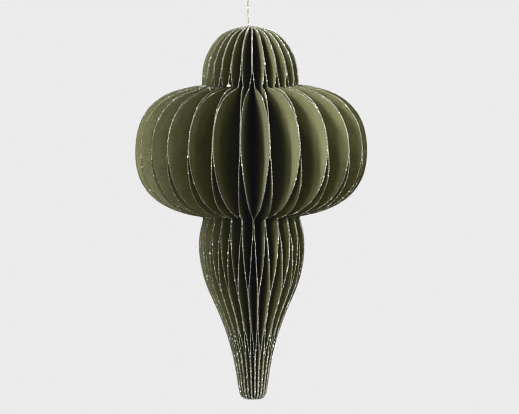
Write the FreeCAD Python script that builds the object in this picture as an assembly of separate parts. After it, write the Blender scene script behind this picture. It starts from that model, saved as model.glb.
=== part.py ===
import FreeCAD, Part
import math
import os
import random

# Hanging paper honeycomb decoration: fifty die-cut paper leaves of one finial
# profile (dome, wide lobe, tapering stem), fanned round a rolled paper spine.
# Neighbouring leaves are glued edge to edge in alternate places, which pulls
# the fan into rows of pointed cells. A thread leaves the top of the core,
# goes up to a knot and ends in a hanging loop.
#
# Frame: +Z up, millimetres, origin at the inside top of the hanging loop,
# where a hook bears. The front of the piece faces -Y, +X is to its right.

# ---------------------------------------------------------------- dimensions
BODY_H = 200.0          # height of the leaves
HANG = 48.0             # top of the leaves to the bearing point of the loop
AXIS_X = 0.60           # the leaves' axis lies this far right of the thread
LEAVES = 50             # leaves in the fan
PAPER_T = 0.38          # thickness of one leaf
GLUE_GAP = 0.020        # half of the glue film between two glued leaves
CORE_R = 3.30           # radius of the leaves' inner edges
OPEN_R = 22.0           # beyond this radius the fan keeps its uneven spacing

SPINE_R = 3.26          # outer radius of the rolled spine strip
SPINE_WALL = 0.32       # its wall, one turn of the same paper
SPINE_END = 1.2         # the strip stops this far inside both ends
PLUG_LEN = 12.0         # rolled plug that grips the thread
PLUG_DEPTH = 2.0        # plug below the leaves' top

CORD_D = 0.90           # twisted metallic thread
KNOT_Z = -28.0          # centre of the knot
KNOT_R = 1.55           # widest radius of the knot
KNOT_H = 3.4            # height of the knot
LOOP_R = 3.20           # centre-line radius of the thread over the hook
LOOP_FOOT = 0.78        # each leg of the loop leaves the knot this far out

Z_TOP = -HANG
Z_BOT = -HANG - BODY_H

# Profile of a leaf: (radius, height above the lowest point).
DOME = [(3.30, 199.86), (5.60, 199.42), (8.30, 198.70), (10.90, 197.80),
        (13.45, 196.62), (15.69, 195.12), (17.65, 193.20), (19.45, 191.05),
        (21.10, 188.65), (22.58, 185.95), (23.92, 182.80), (24.95, 179.00),
        (25.55, 174.90), (25.84, 171.40), (25.92, 168.40)]
LOBE = [(25.92, 168.40), (28.10, 168.10), (30.90, 167.66), (34.40, 167.00),
        (37.60, 166.25), (41.00, 165.25), (44.40, 163.92), (47.90, 162.10),
        (51.20, 159.75), (54.05, 157.05), (56.60, 153.85), (58.75, 150.10),
        (60.42, 145.85), (61.50, 141.00), (62.02, 136.20), (62.10, 132.40),
        (61.88, 128.10), (61.10, 123.30), (59.62, 118.60), (57.30, 114.25),
        (54.50, 110.55), (51.10, 107.35), (47.05, 104.65), (42.60, 102.45),
        (38.20, 100.80), (33.80, 99.55), (29.70, 98.72), (26.00, 98.20)]
STEM = [(26.00, 98.20), (26.12, 96.00), (26.85, 92.90), (27.70, 89.10),
        (28.18, 84.30), (28.16, 79.00), (27.55, 73.60), (26.38, 67.70),
        (24.40, 61.30), (21.72, 54.90), (18.86, 48.40), (16.24, 42.00),
        (14.00, 35.60), (12.12, 29.20), (10.55, 22.75), (9.38, 16.85),
        (8.48, 11.50), (7.78, 6.70), (7.40, 4.25), (6.92, 2.70),
        (6.14, 1.42), (5.20, 0.58), (4.20, 0.14), (3.30, 0.00)]

# Angles, in degrees, of the glue lines round the front and the back, counted
# from the front (-Y) towards +X. A lines close the dome, the second waist and
# the tip; B lines close the wide lobe and the stem.
A_DOME = [-76.9, -63.1, -50.0, -37.2, -23.8, -10.7, 2.4, 18.0, 33.7, 49.3,
          64.3, 80.6, 96.4, 111.6, 127.3, 142.0, 157.3, 171.6, 186.5, 200.4,
          214.9, 228.6, 242.9, 256.2, 270.0]
A_WAIST = [-76.1, -62.5, -49.4, -36.9, -24.2, -11.2, 2.2, 15.9, 31.8, 47.4,
           61.1, 78.9, 95.4, 111.3, 126.8, 142.5, 157.0, 172.2, 186.1, 200.9,
           214.4, 229.1, 242.5, 256.6, 269.7]
A_TIP = [-76.4, -62.8, -49.8, -36.9, -23.7, -11.2, 2.2, 16.2, 31.9, 47.9,
         62.6, 79.5, 95.7, 111.5, 127.0, 142.3, 157.1, 171.9, 186.3, 200.7,
         214.6, 228.9, 242.7, 256.4, 269.8]
B_LOBE = [-70.6, -58.1, -45.7, -32.3, -19.2, -5.2, 9.4, 24.9, 41.2, 57.4,
          72.8, 88.5, 104.1, 119.5, 134.7, 149.7, 164.5, 179.1, 193.5, 207.7,
          221.8, 235.8, 249.6, 263.2, 276.5]
B_STEM = [-70.0, -57.2, -44.9, -31.9, -19.1, -5.4, 8.4, 24.3, 42.0, 57.0,
          71.9, 88.0, 103.8, 119.1, 134.9, 149.3, 164.8, 178.8, 193.8, 207.4,
          222.1, 235.5, 249.9, 263.0, 276.7]

# How far a leaf has gone from its A line (0) to its B line (1), by height
# above the lowest point, at three radii.
MEET_26 = [(200.0, 0.0), (176.4, 0.0), (173.7, 0.12), (171.0, 0.29),
           (168.9, 0.40), (166.7, 0.47), (164.6, 0.53), (160.3, 0.63),
           (155.0, 0.74), (148.5, 0.83), (141.6, 0.87), (134.6, 0.86),
           (128.2, 0.80), (121.8, 0.70), (115.4, 0.57), (110.0, 0.43),
           (105.7, 0.28), (102.5, 0.15), (100.4, 0.06), (98.8, 0.0),
           (88.6, 0.0), (85.7, 0.20), (80.0, 0.32), (74.1, 0.47),
           (68.3, 0.65), (64.0, 0.82), (61.3, 0.92), (58.6, 1.0),
           (38.8, 1.0), (34.5, 0.75), (30.8, 0.50), (26.5, 0.30),
           (22.7, 0.0), (0.0, 0.0)]
MEET_40 = [(200.0, 0.42), (171.0, 0.44), (168.9, 0.55), (166.7, 0.70),
           (165.7, 0.75), (164.1, 0.83), (161.4, 0.89), (158.2, 0.93),
           (153.9, 0.97), (149.6, 1.0), (137.8, 1.0), (130.9, 0.93),
           (126.6, 0.87), (121.8, 0.81), (117.5, 0.75), (113.2, 0.68),
           (108.9, 0.60), (105.7, 0.50), (103.6, 0.44), (101.4, 0.35),
           (99.3, 0.27), (96.1, 0.22), (0.0, 0.20)]
MEET_55 = [(200.0, 0.88), (161.4, 0.90), (159.2, 0.94), (157.1, 0.98),
           (156.0, 1.0), (134.6, 1.0), (130.9, 0.94), (126.6, 0.89),
           (121.8, 0.84), (118.6, 0.80), (113.2, 0.72), (108.9, 0.65),
           (105.7, 0.58), (100.0, 0.50), (0.0, 0.45)]

# Control net of a leaf's surface: radii, and heights that are close together
# where the paper leaves a glue line and wide apart where it runs straight. The
# points are poles, so the sheet never swings past them into its neighbour.
GRID_X = [2.0, 3.6, 6.0, 9.5, 13.5, 18.0, 22.5, 27.0, 32.0, 37.5, 43.5, 50.0,
          57.0, 64.0]
GRID_Z = [-3.0, 1.5, 6.5, 11.5, 16.0, 19.5, 22.0, 24.5, 28.0, 32.0, 35.5, 38.0,
          40.5, 45.0, 50.0, 54.0, 56.5, 58.2, 60.0, 62.5, 66.0, 70.5, 75.5,
          80.0, 83.5, 85.8, 87.6, 89.3, 91.5, 95.0, 98.5, 101.0, 103.5, 107.0,
          111.5, 117.0, 123.0, 129.0, 134.0, 138.5, 144.0, 149.5, 154.0, 158.0,
          161.5, 164.5, 167.0, 169.3, 171.5, 173.8, 176.5, 180.5, 186.0,
          192.5, 198.5, 204.0]
GRID_LO, GRID_HI = GRID_Z[0], GRID_Z[-1]


# ------------------------------------------------------------------- helpers
def table(rows, z):
    """Linear look-up in rows of (height, value), heights falling."""
    if z >= rows[0][0]:
        return rows[0][1]
    if z <= rows[-1][0]:
        return rows[-1][1]
    for (z1, v1), (z0, v0) in zip(rows, rows[1:]):
        if z >= z0:
            return v0 + (v1 - v0) * (z - z0) / (z1 - z0)
    return rows[-1][1]


def radius_at(z):
    """Outer radius of the leaf at a height above its lowest point."""
    best = CORE_R
    for rows in (DOME, LOBE, STEM):
        for (r1, z1), (r0, z0) in zip(rows, rows[1:]):
            if z0 <= z <= z1:
                best = max(best, r0 + (r1 - r0) * (z - z0) / (z1 - z0))
    return best


def smooth(x):
    x = min(1.0, max(0.0, x))
    return x * x * (3.0 - 2.0 * x)


def meet_raw(x, z):
    a = table(MEET_26, z)
    if x <= 26.0:
        return a
    b = table(MEET_40, z)
    if x <= 40.0:
        return a + (b - a) * (x - 26.0) / 14.0
    c = table(MEET_55, z)
    return b + (c - b) * min(1.0, (x - 40.0) / 15.0)


STEP = 0.5
ROWS = int((GRID_HI - GRID_LO) / STEP) + 1


def meet_columns():
    """The A to B share at each grid radius, softened away from the cut edge,
    where the paper bends less sharply than at the glue."""
    kernel = [(k / 6.0, math.exp(-0.5 * (k / 2.4) ** 2)) for k in range(-8, 9)]
    total = sum(w for _, w in kernel)
    cols = []
    for x in GRID_X:
        col = []
        for n in range(ROWS):
            z = GRID_LO + n * STEP
            inner = 0.30 * max(0.0, radius_at(z) - x)
            wide = math.sqrt(0.7 ** 2 + inner ** 2) * 2.5
            col.append(sum(w * meet_raw(x, z + k * wide) for k, w in kernel) / total)
        cols.append(col)
    return cols


def meet(col, z):
    f = min(max((z - GRID_LO) / STEP, 0.0), ROWS - 1.001)
    n = int(f)
    return col[n] + (col[n + 1] - col[n]) * (f - n)


def line_angle(j, z):
    """Angle of glue line j (even: A, odd: B) at a height."""
    k = j // 2
    turn, k = divmod(k, LEAVES // 2)
    if j % 2 == 0:
        if z > 105.0:
            a = A_WAIST[k] + (A_DOME[k] - A_WAIST[k]) * smooth((z - 105.0) / 62.0)
        else:
            a = A_TIP[k] + (A_WAIST[k] - A_TIP[k]) * smooth((z - 24.0) / 62.0)
    else:
        a = B_STEM[k] + (B_LOBE[k] - B_STEM[k]) * smooth((z - 60.0) / 75.0)
    return a + 360.0 * turn


PITCH = 360.0 / LEAVES
EVEN0 = sum(line_angle(j, 130.0) - PITCH * j for j in range(LEAVES)) / LEAVES


def fan_angle(j, z, r):
    """Angle of glue line j at a radius: even at the spine, as measured
    outside."""
    even = EVEN0 + PITCH * j
    return even + (line_angle(j, z) - even) * smooth((r - CORE_R) / (OPEN_R - CORE_R))


def prism(half):
    """The die-cut outline in the XZ plane, as a thick block along Y."""
    def curve(rows):
        c = Part.BSplineCurve()
        c.interpolate([FreeCAD.Vector(r, 0, Z_BOT + z) for r, z in rows])
        return c.toShape()
    inner = Part.LineSegment(
        FreeCAD.Vector(STEM[-1][0], 0, Z_BOT + STEM[-1][1]),
        FreeCAD.Vector(DOME[0][0], 0, Z_BOT + DOME[0][1])).toShape()
    wire = Part.Wire([curve(DOME), curve(LOBE), curve(STEM), inner])
    block = Part.Face(wire).extrude(FreeCAD.Vector(0, 2 * half, 0))
    block.translate(FreeCAD.Vector(0, -half, 0))
    return block


def leaf(i, cols, blocks):
    """Leaf i, between glue lines i and i + 1. The sheet is trimmed with the
    first of the equal blocks that leaves it in one face."""
    rnd = random.Random(1000 + i)
    nom = 0.5 * (line_angle(i, 130.0) + line_angle(i + 1, 130.0))
    shift = [(rnd.uniform(-0.9, 0.9), rnd.uniform(0, 6.28), rnd.uniform(60, 110)) for _ in range(2)]
    waves = [(rnd.uniform(0.02, 0.06), rnd.uniform(-0.05, 0.05), 6.28 / rnd.uniform(28, 70),
              rnd.uniform(0, 6.28)) for _ in range(3)]
    grid = []
    for x, col in zip(GRID_X, cols):
        row = []
        for z in GRID_Z:
            zs = z + sum(a * math.sin(6.28 * z / lam + p) for a, p, lam in shift)
            w = min(1.0, max(0.0, meet(col, zs)))
            side = 2.0 * w - 1.0 if i % 2 == 0 else 1.0 - 2.0 * w
            side += (1.0 - side * side) * sum(
                a * math.sin(kx * x + kz * z + p) for a, kx, kz, p in waves)
            edges = []
            for j in (i, i + 1):
                a = 0.0
                for _ in range(3):
                    a = fan_angle(j, z, x / math.cos(math.radians(a))) - nom
                edges.append(x * math.tan(math.radians(a)))
            room = 0.5 * (edges[1] - edges[0]) - 0.5 * PAPER_T - GLUE_GAP
            room = max(0.0, room) * smooth((x - CORE_R) / 3.5)
            y = 0.5 * (edges[0] + edges[1]) + side * room
            row.append(FreeCAD.Vector(x, y - 0.5 * PAPER_T, Z_BOT + z))
        grid.append(row)
    surf = Part.BSplineSurface()
    nx, nz = len(GRID_X), len(GRID_Z)
    surf.buildFromPolesMultsKnots(
        grid, [4] + [1] * (nx - 4) + [4], [4] + [1] * (nz - 4) + [4],
        list(range(nx - 2)), list(range(nz - 2)), False, False, 3, 3)
    sheet = surf.toShape()
    for tool in blocks:
        cut = sheet.common(tool)
        if len(cut.Faces) == 1 and cut.Faces[0].Area > 5450.0:
            break
        print("leaf %d: trimmed again" % (i + 1))
    solid = cut.Faces[0].extrude(FreeCAD.Vector(0, PAPER_T, 0))
    if solid.ShapeType != "Solid":
        solid = solid.Solids[0]
    solid.rotate(FreeCAD.Vector(0, 0, 0), FreeCAD.Vector(0, 0, 1), nom - 90.0)
    solid.translate(FreeCAD.Vector(AXIS_X, 0, 0))
    return solid


def tube(points, diameter, name):
    """A round tube along straight runs joined by tangent arcs."""
    pts = [FreeCAD.Vector(*p) for p in points]
    edges, at, length = [], pts[0], 0.0
    for n in range(1, len(pts) - 1):
        a, b, c = pts[n - 1], pts[n], pts[n + 1]
        u, v = (a - b), (c - b)
        lu, lv = u.Length, v.Length
        u.normalize()
        v.normalize()
        turn = math.pi - u.getAngle(v)
        cut = 0.45 * min(lu, lv)
        r = cut / math.tan(turn / 2)
        start, end = b + u * cut, b + v * cut
        axis = u + v
        axis.normalize()
        mid = b + axis * (r / math.cos(turn / 2) - r)
        edges.append(Part.LineSegment(at, start).toShape())
        edges.append(Part.Arc(start, mid, end).toShape())
        length += (start - at).Length + r * turn
        at = end
        print("%s: turn %5.1f deg, radius %6.2f mm, runs %.1f and %.1f mm"
              % (name, math.degrees(turn), r, lu, lv))
    edges.append(Part.LineSegment(at, pts[-1]).toShape())
    length += (pts[-1] - at).Length
    path = Part.Wire(edges)
    circle = Part.Wire(Part.makeCircle(diameter / 2, pts[0], pts[1] - pts[0]))
    solid = path.makePipeShell([circle], True, True)
    if solid.ShapeType != "Solid":
        solid = solid.Solids[0]
    want = math.pi * diameter ** 2 / 4 * length
    print("%s: length %.1f mm, volume %.2f against %.2f mm3" % (name, length, solid.Volume, want))
    return solid


# -------------------------------------------------------------------- pieces
parts = {}

cols = meet_columns()
blocks = [prism(half) for half in (20.0, 23.7, 17.3, 31.1)]
for i in range(LEAVES):
    parts["leaf_%02d" % (i + 1)] = leaf(i, cols, blocks)

# Spine strip: one turn of paper, butted into a tube. The leaves' inner edges
# are glued to it.
z0, z1 = Z_BOT + SPINE_END, Z_TOP - SPINE_END
axis_pt = FreeCAD.Vector(AXIS_X, 0, z0)
up = FreeCAD.Vector(0, 0, 1)
spine = Part.makeCylinder(SPINE_R, z1 - z0, axis_pt, up).cut(
    Part.makeCylinder(SPINE_R - SPINE_WALL, z1 - z0, axis_pt, up))
parts["spine_strip"] = spine

# Route of the thread below the knot: out of the plug, over to the plumb line
# under the hook, then straight up to the knot.
knot_lo, knot_hi = KNOT_Z - KNOT_H / 2, KNOT_Z + KNOT_H / 2
STAND = [(AXIS_X, 0, Z_TOP - 12.5), (AXIS_X, 0.03, Z_TOP - 5.5),
         (AXIS_X - 0.05, 0, Z_TOP - 0.6), (AXIS_X - 0.50, -0.02, Z_TOP + 4.6),
         (0.0, 0, Z_TOP + 9.8), (0.0, 0.01, knot_lo)]
stand = tube(STAND, CORD_D, "hanging_cord")
parts["hanging_cord"] = stand

# Core plug: a tight roll of paper that grips the thread.
plug_top = Z_TOP - PLUG_DEPTH
plug = Part.makeCylinder(SPINE_R - SPINE_WALL - 0.02, PLUG_LEN,
                         FreeCAD.Vector(AXIS_X, 0, plug_top - PLUG_LEN), up)
plug = plug.cut(Part.makeCylinder(CORD_D / 2 + 0.06, PLUG_LEN + 2.0,
                                  FreeCAD.Vector(AXIS_X, 0, plug_top - PLUG_LEN - 1.0), up))
parts["core_plug"] = plug

# Knot: the closed outer shape of a small overhand loop knot, flat where the
# thread enters and leaves it.
c = Part.BSplineCurve()
c.interpolate([FreeCAD.Vector(0.62, 0, knot_lo), FreeCAD.Vector(1.22, 0, KNOT_Z - 1.15),
               FreeCAD.Vector(KNOT_R, 0, KNOT_Z - 0.25), FreeCAD.Vector(1.48, 0, KNOT_Z + 0.70),
               FreeCAD.Vector(1.30, 0, knot_hi)])
knot_wire = Part.Wire([
    c.toShape(),
    Part.LineSegment(FreeCAD.Vector(1.30, 0, knot_hi), FreeCAD.Vector(0, 0, knot_hi)).toShape(),
    Part.LineSegment(FreeCAD.Vector(0, 0, knot_hi), FreeCAD.Vector(0, 0, knot_lo)).toShape(),
    Part.LineSegment(FreeCAD.Vector(0, 0, knot_lo), FreeCAD.Vector(0.62, 0, knot_lo)).toShape()])
parts["cord_knot"] = Part.Face(knot_wire).revolve(FreeCAD.Vector(0, 0, 0), up, 360).Solids[0]

# Loop: two taut legs from the knot, and four even turns over the hook.
loop_c = CORD_D / 2 - LOOP_R
lean = math.atan2(LOOP_R - LOOP_FOOT, loop_c - knot_hi)
sweep = math.pi + 2 * lean
corner = LOOP_R / math.cos(sweep / 8)
LOOP = [(-LOOP_FOOT, 0, knot_hi)]
for n in range(4):
    a = math.pi + lean - sweep * (n + 0.5) / 4
    LOOP.append((corner * math.cos(a), 0, loop_c + corner * math.sin(a)))
LOOP.append((LOOP_FOOT, 0, knot_hi))
for p in LOOP:
    print("loop point %.3f %.3f %.3f" % p)
parts["hanging_loop"] = tube(LOOP, CORD_D, "hanging_loop")

# -------------------------------------------------------------------- export
os.makedirs("parts", exist_ok=True)
total = 0.0
for name, shape in parts.items():
    if not shape.isValid() or len(shape.Solids) != 1:
        print("CHECK %s: valid %s, solids %d" % (name, shape.isValid(), len(shape.Solids)))
    total += shape.Volume
    shape.exportStep("parts/%s.step" % name)
print("nodes %d, paper and thread volume %.1f cm3" % (len(parts), total / 1000.0))
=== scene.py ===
import math

import bpy
import numpy as np
from mathutils import Matrix, Vector


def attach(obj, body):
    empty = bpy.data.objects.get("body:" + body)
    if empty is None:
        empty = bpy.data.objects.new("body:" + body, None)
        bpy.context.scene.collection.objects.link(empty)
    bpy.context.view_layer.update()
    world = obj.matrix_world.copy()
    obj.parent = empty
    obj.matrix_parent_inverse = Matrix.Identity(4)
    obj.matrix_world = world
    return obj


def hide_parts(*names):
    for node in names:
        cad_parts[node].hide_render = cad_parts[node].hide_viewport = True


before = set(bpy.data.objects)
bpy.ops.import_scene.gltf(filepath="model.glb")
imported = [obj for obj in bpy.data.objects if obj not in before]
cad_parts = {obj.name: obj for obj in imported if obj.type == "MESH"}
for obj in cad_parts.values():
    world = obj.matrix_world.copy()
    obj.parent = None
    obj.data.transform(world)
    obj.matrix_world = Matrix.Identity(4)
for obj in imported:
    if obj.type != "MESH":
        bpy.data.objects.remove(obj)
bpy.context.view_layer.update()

MM = 0.001
AXIS_X = 0.60 * MM          # the leaves' axis
Z_TOP, Z_BOT = -0.048, -0.248
LEAVES = 50
scene = bpy.context.scene
col = scene.collection


# ----------------------------------------------------------------- camera
def make_camera():
    cam = bpy.data.cameras.new("camera")
    ob = bpy.data.objects.new("camera", cam)
    col.objects.link(ob)
    px = 0.5353 * MM                      # size of one picture point at the object
    dist = 8.0
    cam.sensor_fit = "HORIZONTAL"
    cam.sensor_width = 36.0
    cam.lens = 36.0 * dist / (519 * px)
    cam.clip_start, cam.clip_end = 0.1, 60.0
    aim = Vector((AXIS_X + 8.08 * px, 0.0, -0.1450))
    el = math.radians(3.3)
    ob.location = aim + Vector((0.0, -dist * math.cos(el), dist * math.sin(el)))
    look = (aim - ob.location).to_track_quat("-Z", "Y").to_matrix().to_4x4()
    roll = Matrix.Rotation(math.radians(-0.504), 4, "Z")
    ob.matrix_world = Matrix.Translation(ob.location) @ look @ roll
    scene.camera = ob


make_camera()
scene.view_settings.view_transform = "Standard"
scene.cycles.filter_width = 1.0       # as crisp as a sharpened product photograph


def tone_curve():
    """A product photographer's grade: deep shadows, everything above left alone."""
    vs = scene.view_settings
    vs.use_curve_mapping = True
    cm = vs.curve_mapping
    cm.use_clip = False
    cm.extend = "EXTRAPOLATED"
    all_pts = [(0.0, 0.0034), (0.020, 0.0078), (0.040, 0.0150), (0.080, 0.0385), (0.120, 0.0740),
               (0.170, 0.1380), (0.250, 0.2520), (0.400, 0.4080), (1.0, 1.0)]
    blue = [(0.0, 0.0037), (0.0080, 0.0130), (0.0130, 0.0152), (0.0170, 0.0163), (0.0355, 0.0265),
            (0.0612, 0.0588), (0.109, 0.124), (0.140, 0.153), (0.240, 0.236), (0.450, 0.438),
            (0.780, 0.780), (1.0, 1.0)]
    for k, pts in ((3, all_pts), (2, blue)):
        c = cm.curves[k]
        while len(c.points) > 2:
            c.points.remove(c.points[1])
        c.points[0].location = pts[0]
        c.points[-1].location = pts[-1]
        for p in pts[1:-1]:
            c.points.new(*p)
        for p in c.points:
            p.handle_type = "AUTO_CLAMPED"
    cm.update()


tone_curve()


# ------------------------------------------------------------- node helpers
def new_material(name):
    m = bpy.data.materials.new(name)
    m.use_nodes = True
    nt = m.node_tree
    nt.nodes.clear()
    out = nt.nodes.new("ShaderNodeOutputMaterial")
    bsdf = nt.nodes.new("ShaderNodeBsdfPrincipled")
    nt.links.new(bsdf.outputs[0], out.inputs[0])
    return m, nt, bsdf


def node(nt, kind, **values):
    n = nt.nodes.new(kind)
    for k, v in values.items():
        if k.startswith("_"):
            setattr(n, k[1:], v)
        else:
            n.inputs[k.replace("__", " ")].default_value = v
    return n


def coords(nt, scale=(1, 1, 1), turn=(0, 0, 0)):
    tc = nt.nodes.new("ShaderNodeTexCoord")
    mp = nt.nodes.new("ShaderNodeMapping")
    mp.inputs["Scale"].default_value = scale
    mp.inputs["Rotation"].default_value = turn
    nt.links.new(tc.outputs["Object"], mp.inputs["Vector"])
    return mp.outputs["Vector"]


def ramp(nt, fac, stops):
    r = nt.nodes.new("ShaderNodeValToRGB")
    el = r.color_ramp.elements
    while len(el) < len(stops):
        el.new(0.5)
    for e, (p, c) in zip(el, stops):
        e.position = p
        e.color = (*c, 1.0) if len(c) == 3 else c
    nt.links.new(fac, r.inputs[0])
    return r.outputs[0]


def mix(nt, fac, a, b, blend="MIX"):
    m = nt.nodes.new("ShaderNodeMix")
    m.data_type = "RGBA"
    m.blend_type = blend
    for sock, v in ((m.inputs[0], fac), (m.inputs[6], a), (m.inputs[7], b)):
        if isinstance(v, bpy.types.NodeSocket):
            nt.links.new(v, sock)
        else:
            sock.default_value = v
    return m.outputs[2]


def math_node(nt, op, a, b=None, c=None):
    m = nt.nodes.new("ShaderNodeMath")
    m.operation = op
    for sock, v in zip(m.inputs, (a, b, c)):
        if v is None:
            continue
        if isinstance(v, bpy.types.NodeSocket):
            nt.links.new(v, sock)
        else:
            sock.default_value = v
    return m.outputs[0]


# ---------------------------------------------------------------- materials
def paper(name, dark, light, seed):
    """Handmade cotton paper: cloudy colour, short fibres, soft tooth."""
    m, nt, b = new_material(name)
    v = coords(nt)
    cloud = node(nt, "ShaderNodeTexNoise", Scale=95.0, Detail=4.0, Roughness=0.6)
    grain = node(nt, "ShaderNodeTexNoise", Scale=1500.0, Detail=5.0, Roughness=0.7)
    nt.links.new(v, cloud.inputs["Vector"])
    nt.links.new(v, grain.inputs["Vector"])
    fib = []
    for k, (sc, turn) in enumerate((((1.0, 1.0, 0.10), (0.25, 0.1, 0.0)),
                                    ((1.0, 1.0, 0.13), (1.25, 0.3, 0.4)))):
        f = node(nt, "ShaderNodeTexNoise", Scale=2300.0, Detail=2.0, Roughness=0.5,
                 Distortion=0.6)
        nt.links.new(coords(nt, sc, turn), f.inputs["Vector"])
        fib.append(f.outputs[0])
    fibre = math_node(nt, "MAXIMUM", fib[0], fib[1])
    tone = mix(nt, ramp(nt, cloud.outputs[0], [(0.25, (0, 0, 0)), (0.75, (1, 1, 1))]),
               (*dark, 1), (*light, 1))
    speck = ramp(nt, grain.outputs[0], [(0.36, (0.74, 0.74, 0.74)), (0.64, (1.23, 1.23, 1.23))])
    tone = mix(nt, 1.0, tone, speck, "MULTIPLY")
    thread = ramp(nt, fibre, [(0.60, (1, 1, 1)), (0.72, (1.22, 1.22, 1.18))])
    tone = mix(nt, 1.0, tone, thread, "MULTIPLY")
    info = nt.nodes.new("ShaderNodeObjectInfo")
    per = nt.nodes.new("ShaderNodeMapRange")
    per.inputs["To Min"].default_value = 0.95
    per.inputs["To Max"].default_value = 1.05
    nt.links.new(info.outputs["Random"], per.inputs[0])
    hsv = nt.nodes.new("ShaderNodeHueSaturation")
    nt.links.new(per.outputs[0], hsv.inputs["Value"])
    nt.links.new(tone, hsv.inputs["Color"])
    nt.links.new(hsv.outputs[0], b.inputs["Base Color"])
    b.inputs["Roughness"].default_value = 0.90
    b.inputs["Specular IOR Level"].default_value = 0.25
    b.inputs["Sheen Weight"].default_value = 0.04
    b.inputs["Sheen Roughness"].default_value = 0.5
    height = math_node(nt, "ADD", grain.outputs[0], math_node(nt, "MULTIPLY", fibre, 0.8))
    bump = node(nt, "ShaderNodeBump", Strength=0.45, Distance=0.00012)
    nt.links.new(height, bump.inputs["Height"])
    nt.links.new(bump.outputs[0], b.inputs["Normal"])
    return m


def flake_normal(nt, scale, spread):
    """A normal that jumps from flake to flake."""
    vor = node(nt, "ShaderNodeTexVoronoi", Scale=scale)
    nt.links.new(coords(nt), vor.inputs["Vector"])
    sub = nt.nodes.new("ShaderNodeVectorMath")
    sub.operation = "SUBTRACT"
    nt.links.new(vor.outputs["Color"], sub.inputs[0])
    sub.inputs[1].default_value = (0.5, 0.5, 0.5)
    mul = nt.nodes.new("ShaderNodeVectorMath")
    mul.operation = "SCALE"
    nt.links.new(sub.outputs[0], mul.inputs[0])
    mul.inputs["Scale"].default_value = spread
    geo = nt.nodes.new("ShaderNodeNewGeometry")
    add = nt.nodes.new("ShaderNodeVectorMath")
    add.operation = "ADD"
    nt.links.new(geo.outputs["Normal"], add.inputs[0])
    nt.links.new(mul.outputs[0], add.inputs[1])
    nor = nt.nodes.new("ShaderNodeVectorMath")
    nor.operation = "NORMALIZE"
    nt.links.new(add.outputs[0], nor.inputs[0])
    return nor.outputs[0], vor


def glitter_crust(name, cover, silver_stops, bare_stops, metal):
    """Fine glitter set in glue on the cut edge, the olive paper showing between."""
    m, nt, b = new_material(name)
    n, vor = flake_normal(nt, 4600.0, 1.2)
    sep = nt.nodes.new("ShaderNodeSeparateColor")
    nt.links.new(vor.outputs["Color"], sep.inputs[0])
    patch = node(nt, "ShaderNodeTexNoise", Scale=1500.0, Detail=2.0, Roughness=0.6)
    nt.links.new(coords(nt), patch.inputs["Vector"])
    silver = ramp(nt, sep.outputs[0], silver_stops)
    bare = ramp(nt, sep.outputs[2], bare_stops)
    took = math_node(nt, "ADD", math_node(nt, "MULTIPLY", sep.outputs[1], 0.55), patch.outputs[0])
    fac = ramp(nt, took, [(cover, (0, 0, 0)), (cover + 0.14, (1, 1, 1))])
    nt.links.new(mix(nt, fac, bare, silver), b.inputs["Base Color"])
    nt.links.new(n, b.inputs["Normal"])
    nt.links.new(math_node(nt, "MULTIPLY", fac, metal), b.inputs["Metallic"])
    b.inputs["Roughness"].default_value = 0.40
    return m


def glitter_flake(name):
    m, nt, b = new_material(name)
    vor = node(nt, "ShaderNodeTexVoronoi", Scale=1500.0)
    nt.links.new(coords(nt), vor.inputs["Vector"])
    sep = nt.nodes.new("ShaderNodeSeparateColor")
    nt.links.new(vor.outputs["Color"], sep.inputs[0])
    tone = ramp(nt, sep.outputs[0], [(0.0, (0.60, 0.59, 0.51)), (0.55, (0.84, 0.83, 0.78)),
                                     (1.0, (0.97, 0.97, 0.97))])
    nt.links.new(tone, b.inputs["Base Color"])
    b.inputs["Metallic"].default_value = 0.97
    b.inputs["Roughness"].default_value = 0.40
    return m


def metal_thread(name, dark, mid, light, metal, rough):
    """Fine filaments twisted into a ply."""
    m, nt, b = new_material(name)
    n, vor = flake_normal(nt, 5200.0, 0.45)
    sep = nt.nodes.new("ShaderNodeSeparateColor")
    nt.links.new(vor.outputs["Color"], sep.inputs[0])
    tone = ramp(nt, sep.outputs[0], [(0.0, dark), (0.5, mid), (1.0, light)])
    nt.links.new(tone, b.inputs["Base Color"])
    nt.links.new(n, b.inputs["Normal"])
    b.inputs["Metallic"].default_value = metal
    b.inputs["Roughness"].default_value = rough
    return m


clump_mat = metal_thread("glitter_clump_look", (0.62, 0.62, 0.56), (0.80, 0.80, 0.75),
                         (0.93, 0.93, 0.90), 0.10, 0.5)
clump_flake_mat = metal_thread("glitter_clump_flake_look", (0.80, 0.80, 0.74), (0.90, 0.90, 0.86),
                               (0.97, 0.97, 0.95), 0.35, 0.35)
leaf_mat = paper("leaf_paper_look", (0.136, 0.137, 0.078), (0.156, 0.156, 0.0905), 1)
core_mat = paper("core_paper_look", (0.114, 0.116, 0.065), (0.141, 0.142, 0.080), 2)
crust_mat = glitter_crust("glitter_crust_look", 0.62,
                          [(0.0, (0.115, 0.115, 0.098)), (0.5, (0.235, 0.235, 0.210)), (1.0, (0.62, 0.62, 0.57))],
                          [(0.0, (0.075, 0.075, 0.053)), (1.0, (0.14, 0.14, 0.11))], 0.80)
# painted shade: where the glitter is thin the rim is coloured far darker than the paper, standing for the shade in the
# gaps between the glitter beads
thin_painted_shade_mat = glitter_crust("glitter_thin_look", 0.84,
                         [(0.0, (0.05, 0.05, 0.040)), (0.5, (0.10, 0.10, 0.085)), (1.0, (0.30, 0.30, 0.28))],
                         [(0.0, (0.040, 0.041, 0.026)), (1.0, (0.075, 0.075, 0.052))], 0.6)
flake_mat = glitter_flake("glitter_flake_look")
thread_mat = metal_thread("thread_yarn_look", (0.15, 0.15, 0.105), (0.27, 0.27, 0.20),
                          (0.44, 0.44, 0.35), 0.15, 0.55)
foil_mat = metal_thread("thread_foil_look", (0.70, 0.69, 0.60), (0.84, 0.83, 0.76),
                        (0.96, 0.96, 0.92), 0.30, 0.35)

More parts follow.
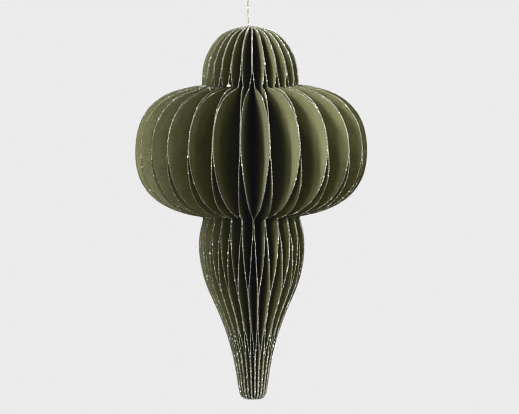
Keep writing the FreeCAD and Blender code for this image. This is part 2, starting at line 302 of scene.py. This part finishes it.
for name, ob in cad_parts.items():
    if name.startswith("leaf_"):
        ob.data.materials.clear()
        ob.data.materials.append(leaf_mat)
    elif name in ("spine_strip", "core_plug"):
        ob.data.materials.clear()
        ob.data.materials.append(core_mat)


# ------------------------------------------------------------- glitter rims
def leaf_edge(ob, step):
    """Centre line of the leaf's cut edge from the top of the core down to its
    foot, with the paper's normal and the outward direction there."""
    me = ob.data
    co = np.zeros(len(me.vertices) * 3)
    me.vertices.foreach_get("co", co)
    co = co.reshape(-1, 3)
    me.calc_loop_triangles()
    tri = np.zeros(len(me.loop_triangles) * 3, int)
    me.loop_triangles.foreach_get("vertices", tri)
    tri = tri.reshape(-1, 3)
    rel = co - np.array([AXIS_X, 0, 0])
    far = rel[np.hypot(rel[:, 0], rel[:, 1]) > 0.035][:, :2].mean(0)
    ex = np.array([far[0], far[1], 0.0]) / np.hypot(*far)
    ey = np.array([-ex[1], ex[0], 0.0])
    nrm = np.cross(co[tri[:, 1]] - co[tri[:, 0]], co[tri[:, 2]] - co[tri[:, 0]])
    nrm /= np.linalg.norm(nrm, axis=1)[:, None] + 1e-30
    side = np.abs(nrm @ ey) < 0.5
    key = {}
    ids = np.array([key.setdefault(tuple(np.round(p * 1e7).astype(int)), len(key)) for p in co])
    pts = np.zeros((len(key), 3))
    pts[ids] = co
    on_side = np.zeros(len(key), bool)
    on_side[ids[tri[side].ravel()]] = True
    chains = []
    for sign in (-1, 1):
        face = (nrm @ ey) * sign > 0.5
        on_face = np.zeros(len(key), bool)
        on_face[ids[tri[face].ravel()]] = True
        p = pts[on_side & on_face]
        x = (p - np.array([AXIS_X, 0, 0])) @ ex
        p = p[(x > 3.305 * MM) | (p[:, 2] > Z_TOP - 0.3 * MM) | (p[:, 2] < Z_BOT + 0.02 * MM)]
        p = p[np.argsort(-p[:, 2])]
        # the widest point of each height is the cut edge
        s = np.r_[0, np.cumsum(np.linalg.norm(np.diff(p, axis=0), axis=1))]
        keep = np.r_[True, np.diff(s) > 1e-6]
        p, s = p[keep], s[keep]
        chains.append((s[-1], p, s))
    n = int(min(chains[0][0], chains[1][0]) / step) + 1
    both = []
    for length, p, s in chains:
        q = np.linspace(0, length, n)
        both.append(np.stack([np.interp(q, s, p[:, k]) for k in range(3)], 1))
    if abs(chains[0][0] - chains[1][0]) > 0.03 * MM:
        # a stray corner on one face: follow the cleaner face and look across the paper
        good = int(chains[1][0] < chains[0][0])
        length, p, s = chains[1 - good]
        q = np.linspace(0, length, int(length / (0.02 * MM)))
        dense = np.stack([np.interp(q, s, p[:, k]) for k in range(3)], 1)
        for r in range(n):
            d2 = ((dense - both[good][r]) ** 2).sum(1)
            both[1 - good][r] = dense[int(d2.argmin())]
        across = both[1 - good] - both[good]
        d = np.linalg.norm(across, axis=1)
        fine = np.abs(d - np.median(d)) < 0.03 * MM
        for k in range(3):
            across[:, k] = np.interp(np.arange(n), np.arange(n)[fine], across[fine, k])
        both[1 - good] = both[good] + across
    mid = 0.5 * (both[0] + both[1])
    nl = both[1] - both[0]
    nl /= np.linalg.norm(nl, axis=1)[:, None]
    tan = np.gradient(mid, axis=0)
    tan /= np.linalg.norm(tan, axis=1)[:, None]
    out = np.cross(tan, nl)
    out *= np.sign(((mid - np.array([AXIS_X, 0, 0])) @ ex).mean() * (out @ ex).mean())
    out /= np.linalg.norm(out, axis=1)[:, None]
    return mid, tan, nl, out


def smooth_noise(rng, n, width):
    k = np.exp(-0.5 * (np.arange(-3 * width, 3 * width + 1) / width) ** 2)
    v = np.convolve(rng.standard_normal(n + 6 * width), k, mode="valid")[:n]
    return v / np.sqrt((k ** 2).sum())


def make_mesh(name, verts, faces, mats, index=None, smooth=False):
    me = bpy.data.meshes.new(name)
    me.from_pydata([tuple(v) for v in verts], [], [tuple(f) for f in faces])
    for m in mats:
        me.materials.append(m)
    if index is not None:
        me.polygons.foreach_set("material_index", np.asarray(index, np.int32))
    if smooth:
        me.polygons.foreach_set("use_smooth", [True] * len(me.polygons))
    me.update()
    ob = bpy.data.objects.new(name, me)
    col.objects.link(ob)
    return ob


HALF = 0.19 * MM           # half the paper's thickness
GEM = [(1, 0, 0), (0, 1, 0), (-1, 0, 0), (0, -1, 0), (0, 0, 1), (0, 0, -1)]
GEM_FACES = [(0, 1, 4), (1, 2, 4), (2, 3, 4), (3, 0, 4), (1, 0, 5), (2, 1, 5), (3, 2, 5), (0, 3, 5)]


def unit(v):
    return v / np.linalg.norm(v, axis=-1, keepdims=True)


def glitter_rim(i, ob):
    rng = np.random.default_rng(5000 + i)
    mid, tan, nl, out = leaf_edge(ob, 0.46 * MM)
    n = len(mid)
    bead = np.convolve(rng.standard_normal(n + 4), [-0.41, 0.0, 0.82, 0.0, -0.41], "valid")
    took = 1.10 * bead + 0.20 * smooth_noise(rng, n, 3) + 0.22 * smooth_noise(rng, n, 12)
    # painted shade: the leaves at the front left get less glitter and fewer grains on their rims in a band of height,
    # so that these rims, which face the key light, come out darker
    turn = np.degrees(np.arctan2(mid[:, 0] - AXIS_X, -mid[:, 1]))
    left = np.interp(turn, [-105, -85, -62, -48, -24, -12], [0.0, 0.4, 0.6, 1.0, 1.0, 0.0])
    took -= left * np.interp(mid[:, 2], [-0.21, -0.19, -0.155, -0.145, -0.085, -0.078],
                             [0.0, 0.32, 0.32, 0.45, 0.45, 0.14])
    lump = np.convolve((rng.random(n) < 0.028) * rng.uniform(0.4, 1.3, n), [0.5, 1.0, 0.5], "same")
    # eight points round the cut edge: tucked into the paper, along each face, over the edge
    verts = []
    for side in (-1, 1):
        own = took + 0.35 * smooth_noise(rng, n, 2)
        wide = np.clip(1.02 + 0.46 * own + 0.25 * lump, 0.32, 1.80) * HALF
        deep = np.clip(0.05 + 0.07 * own, 0.0, 0.34) * MM
        crown = np.clip(0.045 + 0.035 * own + 0.07 * lump, 0.008, 0.17) * MM
        bare = wide < 0.98 * HALF          # the glue missed the corner of the edge
        rows = [(0.86 * np.minimum(wide, HALF), np.where(bare, -0.06 * MM, -1.3 * deep - 0.02 * MM)),
                (wide, np.where(bare, -0.03 * MM, -0.8 * deep)),
                (wide, 0.35 * crown), (0.52 * wide, crown)]
        if side > 0:
            rows.reverse()
        for lat, outw in rows:
            jit = rng.normal(0, 0.008 * MM, (n, 3))
            verts.append(mid + nl * (lat * side)[:, None] + out * outw[:, None] + jit)
    m = len(verts)
    verts = np.stack(verts, 1).reshape(-1, 3)
    faces = []
    for r in range(n - 1):
        a, b = r * m, (r + 1) * m
        for k in range(m):
            k2 = (k + 1) % m
            faces.append((a + k, a + k2, b + k2, b + k))
    # faces where the glitter took thinly get the darker thin material, which carries painted shade
    thin = np.repeat(took[:-1], m) + rng.normal(0, 0.25, (n - 1) * m) < -0.05
    faces.append(tuple(range(m - 1, -1, -1)))
    faces.append(tuple((n - 1) * m + k for k in range(m)))
    index = [2 if t else 0 for t in thin] + [0, 0]
    # grains standing in the glue, most where it took well
    count = int(n * 1.35)
    want = np.exp(2.4 * took + 0.9 * lump)
    at = 1 + rng.choice(n - 2, count, p=want[1:-1] / want[1:-1].sum())
    u = rng.uniform(0, 1, count)[:, None]
    base = mid[at] * (1 - u) + mid[at - 1] * u
    spill = rng.random(count) < 0.36
    lat = np.where(spill, np.sign(rng.uniform(-1, 1, count)) * (HALF + 0.015 * MM),
                   rng.uniform(-0.9, 0.9, count) * HALF)
    outw = np.where(spill, -np.minimum(rng.exponential(0.22, count), 1.3),
                    rng.uniform(0.02, 0.10, count) + 0.06 * np.clip(took[at], 0, 2)) * MM
    c = base + nl[at] * lat[:, None] + out[at] * outw[:, None]
    size = np.clip(rng.lognormal(math.log(0.150), 0.36, count), 0.07, 0.30) * MM
    size *= np.where(spill, 0.72, 1.0)
    face_n = np.where(spill[:, None], nl[at] * np.sign(lat)[:, None], out[at])
    fn = unit(face_n + rng.normal(0, 0.60, (count, 3)) * np.where(spill, 0.35, 1.0)[:, None])
    a1 = unit(np.cross(fn, rng.normal(0, 1, (count, 3))))
    a2 = np.cross(fn, a1)
    start = len(verts)
    thick = rng.uniform(0.16, 0.34, count)
    gem = [c + size[:, None] * (a1 * g[0] + a2 * g[1] + fn * (g[2] * thick)[:, None]) for g in GEM]
    verts = np.vstack([verts, np.stack(gem, 1).reshape(-1, 3)])
    for k in range(count):
        s = start + 6 * k
        for g in GEM_FACES:
            faces.append((s + g[0], s + g[1], s + g[2]))
            index.append(1)
    rim = make_mesh("glitter_%02d" % i, verts, faces, [crust_mat, flake_mat, thin_painted_shade_mat], index)
    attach(rim, "root")
    return rim


for i in range(1, LEAVES + 1):
    glitter_rim(i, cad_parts["leaf_%02d" % i])


def clump(name, at, wide, tall, deep, grains, seed):
    """A blob of glue and glitter caught between two leaves: widest at its foot."""
    rng = np.random.default_rng(seed)
    rows, cols = 7, 12
    verts = [np.array([0, 0, 0.0])]
    for r in range(1, rows):
        h = r / rows
        g = np.sin(math.pi * min(h * 2.2, 1.0) / 2) * (1.0 - h) ** 0.75 + 0.05
        for k in range(cols):
            a = 2 * math.pi * k / cols
            wob = 1.0 + 0.16 * rng.standard_normal()
            verts.append(np.array([0.72 * wide * g * math.cos(a) * wob, 0.72 * deep * g * math.sin(a) * wob, h * tall]))
    verts.append(np.array([0.04 * wide, 0, tall]))
    faces = []
    for k in range(cols):
        k2 = (k + 1) % cols
        faces.append((0, 1 + k2, 1 + k))
        for r in range(rows - 2):
            p, q = 1 + r * cols, 1 + (r + 1) * cols
            faces.append((p + k, p + k2, q + k2, q + k))
        p = 1 + (rows - 2) * cols
        faces.append((p + k, p + k2, len(verts) - 1))
    verts = np.array(verts)
    index = [0] * len(faces)
    src = verts[rng.integers(1 + cols // 2, len(verts) - 1, grains)]
    c = src * rng.uniform(0.95, 1.10, (grains, 1))
    fn = unit(src - np.array([0, 0, 0.25 * tall]) + rng.normal(0, 0.25 * tall, (grains, 3)))
    a1 = unit(np.cross(fn, rng.normal(0, 1, (grains, 3))))
    a2 = np.cross(fn, a1)
    size = np.clip(rng.lognormal(math.log(0.17), 0.35, grains), 0.08, 0.34) * MM
    start = len(verts)
    gem = [c + size[:, None] * (a1 * g[0] + a2 * g[1] + fn * (0.25 * g[2])) for g in GEM]
    verts = np.vstack([verts, np.stack(gem, 1).reshape(-1, 3)]) + np.array(at) * MM
    for k in range(grains):
        o = start + 6 * k
        for g in GEM_FACES:
            faces.append((o + g[0], o + g[1], o + g[2]))
            index.append(1)
    ob = make_mesh(name, verts, faces, [clump_mat, clump_flake_mat], index)
    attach(ob, "root")


clump("glitter_clump_1", (-10.95, -23.6, -79.45), 2.15 * MM, 1.50 * MM, 1.5 * MM, 80, 71)
clump("glitter_clump_2", (-13.05, -37.05, -82.40), 0.75 * MM, 0.75 * MM, 0.6 * MM, 16, 72)


# -------------------------------------------------------------------- thread
ROUTE = [(0.60, 0.0, -60.5), (0.60, 0.03, -53.5), (0.24, 0.0, -48.6),
         (-0.20, -0.02, -43.4), (-0.33, 0.0, -38.2), (-0.10, 0.01, -29.7),
         (-0.78, 0.0, -26.3), (-2.773, 0.0, -7.033), (-3.329, 0.0, -1.662),
         (-1.423, 0.0, 0.45), (1.423, 0.0, 0.45), (3.329, 0.0, -1.662),
         (2.773, 0.0, -7.033), (0.78, 0.0, -26.3), (0.30, 0.25, -28.2)]


def spline_points(points, name):
    cu = bpy.data.curves.new(name, "CURVE")
    cu.dimensions = "3D"
    cu.resolution_u = 24
    sp = cu.splines.new("NURBS")
    sp.points.add(len(points) - 1)
    for p, q in zip(sp.points, points):
        p.co = (q[0] * MM, q[1] * MM, q[2] * MM, 1.0)
    sp.order_u = 3
    sp.use_endpoint_u = True
    ob = bpy.data.objects.new(name, cu)
    col.objects.link(ob)
    bpy.context.view_layer.update()
    me = bpy.data.meshes.new_from_object(ob)
    co = np.array([v.co for v in me.vertices], float)
    bpy.data.objects.remove(ob)
    bpy.data.meshes.remove(me)
    return co


def resample(p, step):
    s = np.r_[0, np.cumsum(np.linalg.norm(np.diff(p, axis=0), axis=1))]
    keep = np.r_[True, np.diff(s) > 1e-9]
    p, s = p[keep], s[keep]
    n = int(s[-1] / step) + 1
    q = np.linspace(0, s[-1], n)
    return np.stack([np.interp(q, s, p[:, k]) for k in range(3)], 1), s[-1]


def frames_along(p):
    t = np.gradient(p, axis=0)
    t /= np.linalg.norm(t, axis=1)[:, None]
    u = np.zeros_like(p)
    a = np.array([0.0, 1.0, 0.0])
    u[0] = np.cross(t[0], a)
    if np.linalg.norm(u[0]) < 1e-6:
        u[0] = np.cross(t[0], [1.0, 0, 0])
    u[0] /= np.linalg.norm(u[0])
    for k in range(1, len(p)):
        v = u[k - 1] - t[k] * (u[k - 1] @ t[k])
        u[k] = v / np.linalg.norm(v)
    return t, u, np.cross(t, u)


def plies(p, radius, pitch, twist0, sides=12, plies_n=2, lobes=6, ply_pitch=-2.6 * MM):
    """Two twisted plies laid round a path. Each ply is itself a lobed yarn."""
    t, u, w = frames_along(p)
    s = np.r_[0, np.cumsum(np.linalg.norm(np.diff(p, axis=0), axis=1))]
    verts, faces = [], []
    r_ply = radius * 0.78
    off = radius - r_ply
    for k in range(plies_n):
        ang = twist0 + 2 * math.pi * (s / pitch + k / plies_n)
        c = p + off * (u * np.cos(ang)[:, None] + w * np.sin(ang)[:, None])
        base = len(verts) * 1
        rows = []
        for j in range(sides):
            a = 2 * math.pi * j / sides
            rr = r_ply * (1.0 + 0.09 * np.cos(lobes * (a - 2 * math.pi * s / ply_pitch / lobes)))
            rows.append(c + rr[:, None] * (u * math.cos(a) + w * math.sin(a)))
        ring = np.stack(rows, 1).reshape(-1, 3)
        base = sum(len(x) for x in verts)
        verts.append(ring)
        n = len(p)
        for r in range(n - 1):
            a0, b0 = base + r * sides, base + (r + 1) * sides
            for j in range(sides):
                j2 = (j + 1) % sides
                faces.append((a0 + j, a0 + j2, b0 + j2, b0 + j))
        faces.append(tuple(base + j for j in range(sides - 1, -1, -1)))
        faces.append(tuple(base + (n - 1) * sides + j for j in range(sides)))
    return np.vstack(verts), faces


def foil_wraps(p, radius, first, pitch, phase, sides=6):
    """A flat bright filament lying along the yarn that takes one tight turn round
    it at regular intervals."""
    s0 = np.r_[0, np.cumsum(np.linalg.norm(np.diff(p, axis=0), axis=1))]
    q = np.arange(0.3 * MM, s0[-1] - 0.3 * MM, 0.06 * MM)
    p = np.stack([np.interp(q, s0, p[:, k]) for k in range(3)], 1)
    t, u, w = frames_along(p)
    back = np.array([0.0, 1.0, 0.0])
    u = back - t * (t @ back)[:, None]
    u /= np.linalg.norm(u, axis=1)[:, None]
    w = np.cross(t, u)
    turns = np.floor((q - first) / pitch + 0.5)
    x = np.clip(((q - first) - turns * pitch) / (0.90 * MM) + 0.5, 0, 1)
    ang = phase + 2 * math.pi * (turns + x)
    away = radius + 0.02 * MM
    rad = u * np.cos(ang)[:, None] + w * np.sin(ang)[:, None]
    side = -u * np.sin(ang)[:, None] + w * np.cos(ang)[:, None]
    c = p + rad * away
    d = np.gradient(c, axis=0)
    d /= np.linalg.norm(d, axis=1)[:, None]
    across = np.cross(d, rad)
    verts = []
    for j in range(sides):
        a = 2 * math.pi * j / sides
        verts.append(c + across * (0.33 * MM * math.cos(a)) + rad * (0.045 * MM * math.sin(a)))
    verts = np.stack(verts, 1).reshape(-1, 3)
    faces = []
    n = len(q)
    for r in range(n - 1):
        a0, b0 = r * sides, (r + 1) * sides
        for j in range(sides):
            j2 = (j + 1) % sides
            faces.append((a0 + j, b0 + j, b0 + j2, a0 + j2))
    faces.append(tuple(range(sides)))
    faces.append(tuple((n - 1) * sides + j for j in range(sides - 1, -1, -1)))
    return verts, faces


path, total = resample(spline_points(ROUTE, "route"), 0.15 * MM)
v, f = plies(path, 0.46 * MM, 7.4 * MM, 0.6)
v2, f2 = foil_wraps(path, 0.45 * MM, 17.90 * MM, 4.39 * MM, 0.0)
f2 = [tuple(i + len(v) for i in g) for g in f2]
thread = make_mesh("thread", np.vstack([v, v2]), list(f) + f2, [thread_mat, foil_mat],
                   [0] * len(f) + [1] * len(f2), smooth=True)
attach(thread, "root")
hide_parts("hanging_cord", "hanging_loop")

# the knot: a tight overhand turn of the same thread
tt = np.linspace(0, 2 * math.pi, 150)
kr, kz = (0.95 + 0.42 * np.cos(3 * tt)) * MM, 0.74 * np.sin(3 * tt) * MM
kp = np.stack([kr * np.cos(2 * tt), kr * np.sin(2 * tt), kz - 0.02800], 1)
v, f = plies(kp, 0.43 * MM, 5.0 * MM, 0.2)
knot = make_mesh("knot", v, f, [thread_mat], smooth=True)
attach(knot, "root")
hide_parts("cord_knot")


# -------------------------------------------------------------------- stage
def make_stage():
    me = bpy.data.meshes.new("floor")
    s = 1.7
    me.from_pydata([(-s, -s, -0.62), (s, -s, -0.62), (s, s, -0.62), (-s, s, -0.62)], [],
                   [(0, 1, 2, 3)])
    m, nt, b = new_material("floor_look")
    v = coords(nt)
    nz = node(nt, "ShaderNodeTexNoise", Scale=9.0, Detail=3.0)
    nt.links.new(v, nz.inputs["Vector"])
    nt.links.new(ramp(nt, nz.outputs[0], [(0.3, (0.385,) * 3), (0.7, (0.40,) * 3)]),
                 b.inputs["Base Color"])
    b.inputs["Roughness"].default_value = 0.9
    b.inputs["Specular IOR Level"].default_value = 0.1
    # open to view from underneath, so that the foot of the piece can be looked at too
    out = next(n for n in nt.nodes if n.type == "OUTPUT_MATERIAL")
    side = nt.nodes.new("ShaderNodeNewGeometry")
    clear = nt.nodes.new("ShaderNodeBsdfTransparent")
    both = nt.nodes.new("ShaderNodeMixShader")
    nt.links.new(side.outputs["Backfacing"], both.inputs[0])
    nt.links.new(b.outputs[0], both.inputs[1])
    nt.links.new(clear.outputs[0], both.inputs[2])
    nt.links.new(both.outputs[0], out.inputs["Surface"])
    me.materials.append(m)
    ob = bpy.data.objects.new("floor", me)
    col.objects.link(ob)

    w = bpy.data.worlds.new("world")
    scene.world = w
    w.use_nodes = True
    nt = w.node_tree
    nt.nodes.clear()
    out = nt.nodes.new("ShaderNodeOutputWorld")
    seen = nt.nodes.new("ShaderNodeBackground")
    seen.inputs[0].default_value = (0.8308, 0.8308, 0.8308, 1)
    seen.inputs[1].default_value = 1.0
    fill = nt.nodes.new("ShaderNodeBackground")
    fill.inputs[0].default_value = (0.97, 0.99, 1.0, 1)
    fill.inputs[1].default_value = FILL
    walls = nt.nodes.new("ShaderNodeBackground")      # the white room the glitter mirrors
    walls.inputs[0].default_value = (0.99, 0.99, 1.0, 1)
    way = nt.nodes.new("ShaderNodeTexCoord")
    xyz = nt.nodes.new("ShaderNodeSeparateXYZ")
    level = nt.nodes.new("ShaderNodeMapRange")        # dimmer to the left than to the right
    nt.links.new(way.outputs["Generated"], xyz.inputs[0])
    nt.links.new(xyz.outputs["X"], level.inputs["Value"])
    level.inputs["From Min"].default_value = -0.7
    level.inputs["From Max"].default_value = 0.7
    level.inputs["To Min"].default_value = WALLS[0]
    level.inputs["To Max"].default_value = WALLS[1]
    nt.links.new(level.outputs[0], walls.inputs[1])
    lp = nt.nodes.new("ShaderNodeLightPath")
    m1 = nt.nodes.new("ShaderNodeMixShader")
    nt.links.new(lp.outputs["Is Glossy Ray"], m1.inputs[0])
    nt.links.new(fill.outputs[0], m1.inputs[1])
    nt.links.new(walls.outputs[0], m1.inputs[2])
    mx = nt.nodes.new("ShaderNodeMixShader")
    nt.links.new(lp.outputs["Is Camera Ray"], mx.inputs[0])
    nt.links.new(m1.outputs[0], mx.inputs[1])
    nt.links.new(seen.outputs[0], mx.inputs[2])
    nt.links.new(mx.outputs[0], out.inputs[0])


def softbox(name, az, el, dist, wide, tall, power, roll=0.0, tint=(1, 1, 1)):
    la = bpy.data.lights.new(name, "AREA")
    la.shape = "RECTANGLE"
    la.size, la.size_y = wide, tall
    la.energy = power
    la.color = tint
    ob = bpy.data.objects.new(name, la)
    col.objects.link(ob)
    a, e = math.radians(az), math.radians(el)
    aim = Vector((AXIS_X, 0, -0.145))
    d = Vector((math.sin(a) * math.cos(e), -math.cos(a) * math.cos(e), math.sin(e)))
    turn = (-d).to_track_quat("-Z", "Y").to_matrix().to_4x4()
    ob.matrix_world = (Matrix.Translation(aim + d * dist) @ turn
                       @ Matrix.Rotation(math.radians(roll), 4, "Z"))


FILL = 0.02
WALLS = (0.15, 1.15)
make_stage()
for name, az, el, power in (
        ("key", -40, 28, 26.4), ("key_low", -40, 10, 18.5), ("key_side", -60, 46, 9.7),
        ("key_high", -60, 62, 28.6), ("front_left", -20, 10, 20.4), ("front_mid", 0, 10, 1.7),
        ("front_foot", 0, -8, 3.1), ("front_top", 0, 62, 10.3), ("right_front", 40, 10, 8.2),
        ("right_mid", 20, 28, 4.5), ("right_near", 80, -8, 21.4), ("right_low", 100, -8, 25.5),
        ("right_side", 100, 10, 31.1), ("right_back", 100, 46, 6.6), ("right_top", 100, 62, 12.8),
        ("back_right", 150, 28, 36.0), ("back_left", -140, 34, 12.0)):
    softbox(name, az, el, 2.4, 0.40, 0.40, power)
